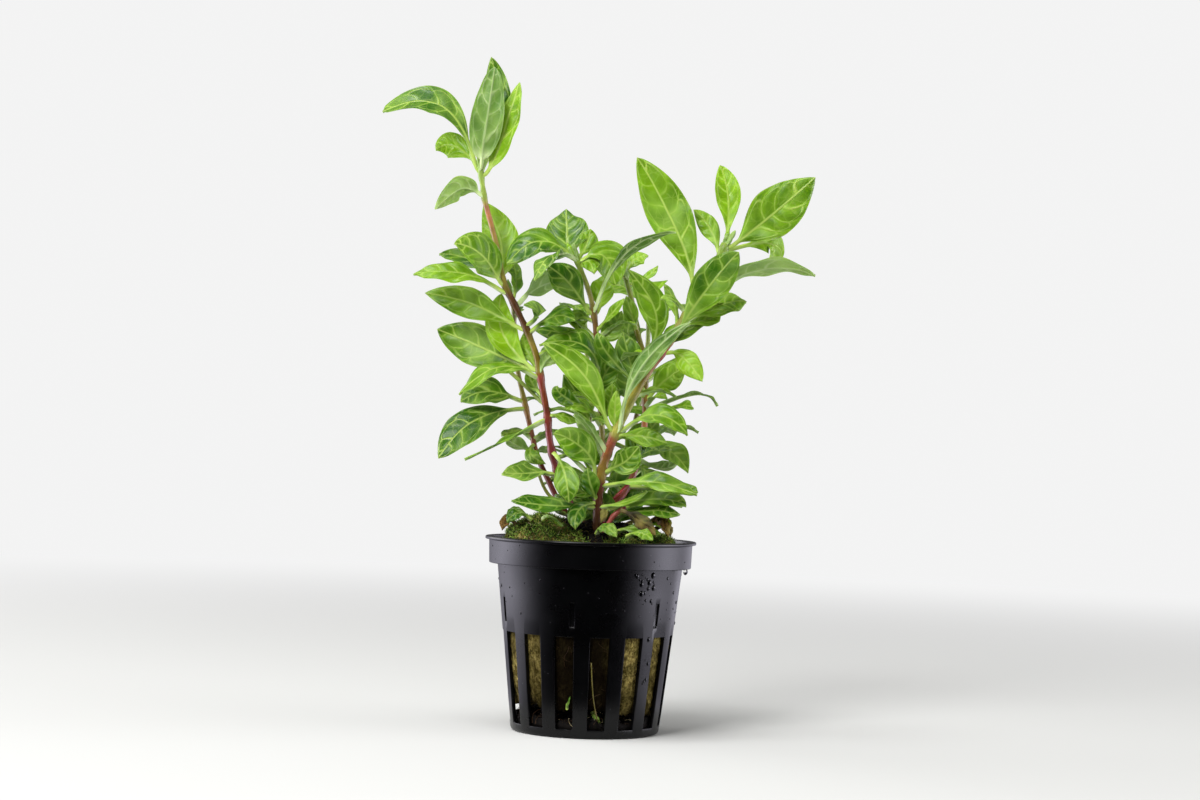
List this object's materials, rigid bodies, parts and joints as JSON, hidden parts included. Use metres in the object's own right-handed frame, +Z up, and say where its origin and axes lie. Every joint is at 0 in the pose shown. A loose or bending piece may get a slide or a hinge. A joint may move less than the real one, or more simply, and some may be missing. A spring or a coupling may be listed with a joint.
{
  "type": "potted hygrophila",
  "caption": "Bushy aquarium hygrophila with red-brown stems and pale-veined green leaves, rooted in mineral wool in a small black slotted net pot.",
  "frame": {"origin": "centre of the pot's base, on the surface it stands on", "axes": "+Z up along the pot's axis; -Y towards the viewer of the picture, +X to the viewer's right"},
  "size_m": [0.113, 0.0645, 0.175],
  "materials": {
    "black_plastic": "satin",
    "mineral_wool": "matte",
    "stem": "satin",
    "leaf": "satin"
  },
  "bodies": {
    "root": {"leaf_back_left_inner": "leaf", "leaf_back_left_low": "leaf", "leaf_back_left_top": "leaf", "leaf_back_right_inner": "leaf", "leaf_back_right_low": "leaf", "leaf_back_right_top": "leaf", "leaf_back_right_top_left": "leaf", "leaf_centre_arching": "leaf", "leaf_centre_bright": "leaf", "leaf_centre_crown": "leaf", "leaf_centre_dark_arch": "leaf", "leaf_centre_dark_left": "leaf", "leaf_centre_drooping": "leaf", "leaf_centre_top_left": "leaf", "leaf_centre_top_right": "leaf", "leaf_front_arching_right": "leaf", "leaf_front_hanging_right": "leaf", "leaf_front_long_left": "leaf", "leaf_front_long_right": "leaf", "leaf_front_low_inner": "leaf", "leaf_front_low_left": "leaf", "leaf_front_low_right": "leaf", "leaf_front_shelf_right": "leaf", "leaf_front_silver": "leaf", "leaf_front_top_big": "leaf", "leaf_front_top_folded": "leaf", "leaf_front_top_inner": "leaf", "leaf_front_upright": "leaf", "leaf_left_pale": "leaf", "leaf_left_veined": "leaf", "leaf_low_outer": "leaf", "leaf_right_dark": "leaf", "leaf_right_outer": "leaf", "leaf_right_veined": "leaf", "leaf_tall_arched": "leaf", "leaf_tall_bright": "leaf", "leaf_tall_broad_left": "leaf", "leaf_tall_hanging": "leaf", "leaf_tall_long_left": "leaf", "leaf_tall_middle_left": "leaf", "leaf_tall_narrow": "leaf", "leaf_tall_pale_right": "leaf", "leaf_tall_ragged": "leaf", "leaf_tall_top_dark": "leaf", "leaf_tall_top_left": "leaf", "leaf_tall_top_pale": "leaf", "leaf_tall_top_right": "leaf", "leaf_tall_upper_back": "leaf", "leaf_tall_upper_left": "leaf", "leaf_tall_upper_pale": "leaf", "net_pot": "black_plastic", "stem_back_left": "stem", "stem_back_right": "stem", "stem_centre": "stem", "stem_front": "stem", "stem_left": "stem", "stem_low": "stem", "stem_right": "stem", "stem_tall": "stem", "wool_plug": "mineral_wool"}
  },
  "joints": []
}
